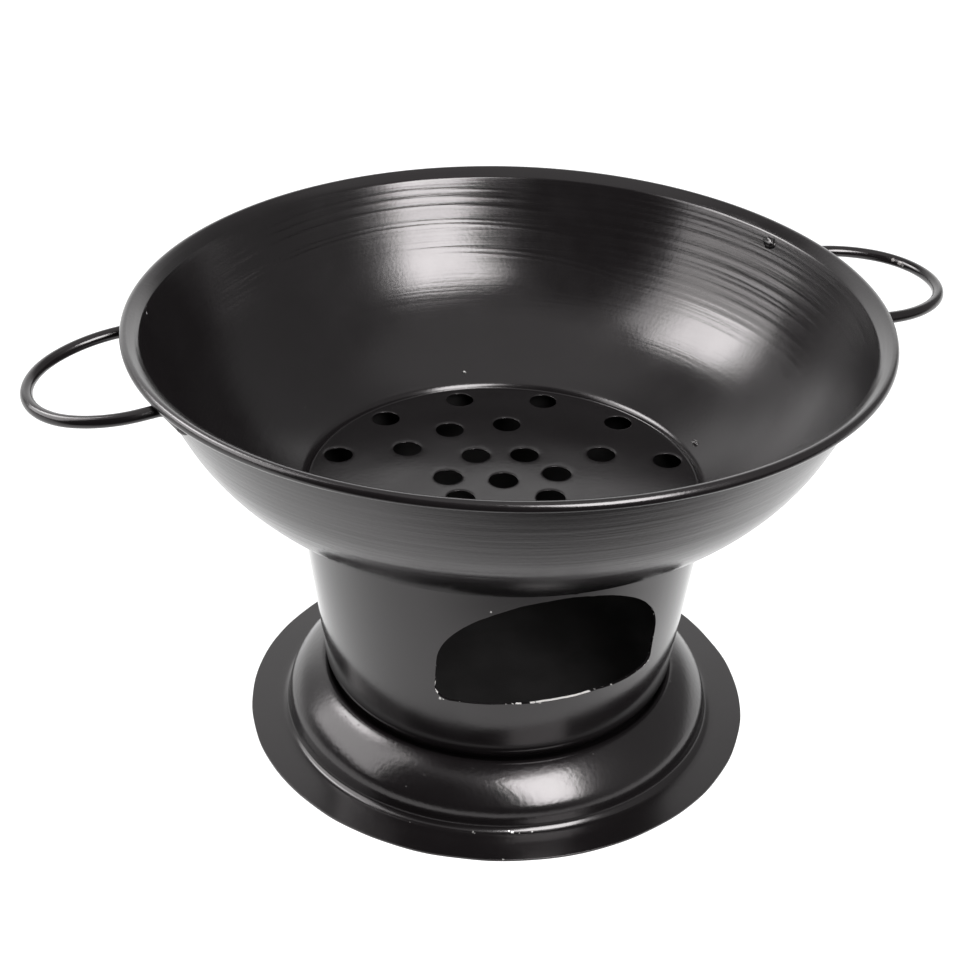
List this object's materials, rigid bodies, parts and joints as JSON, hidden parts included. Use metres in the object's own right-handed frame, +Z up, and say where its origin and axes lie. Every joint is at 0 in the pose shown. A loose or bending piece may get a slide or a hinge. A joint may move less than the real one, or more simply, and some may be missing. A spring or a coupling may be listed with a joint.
{
  "type": "charcoal brazier",
  "caption": "Round black sheet-steel charcoal brazier: perforated fire bowl with flared rim and wire handles on a drum pedestal with an ash opening and a pressed ring foot.",
  "frame": {"origin": "middle of the foot ring's underside, on the ground", "axes": "+Z up; the handles lie along X; the ash opening faces -Y"},
  "size_m": [0.4766, 0.3798, 0.2416],
  "materials": {
    "bowl_paint": "satin black paint over spun sheet steel, with fine turning lines",
    "drum_paint": "satin black paint, bare metal where the opening's cut edge is chipped",
    "ring_paint": "gloss black paint with a little orange peel",
    "handle_paint": "gloss black paint on drawn round wire",
    "weld_paint": "gloss black paint over weld beads"
  },
  "bodies": {
    "root": {"bowl": "bowl_paint", "ash_drum": "drum_paint", "foot_ring": "ring_paint", "handle_left": "handle_paint", "handle_right": "handle_paint", "handle_welds_left": "weld_paint", "handle_welds_right": "weld_paint", "bowl_tack_welds": "weld_paint", "foot_tack_welds": "weld_paint"}
  },
  "joints": []
}
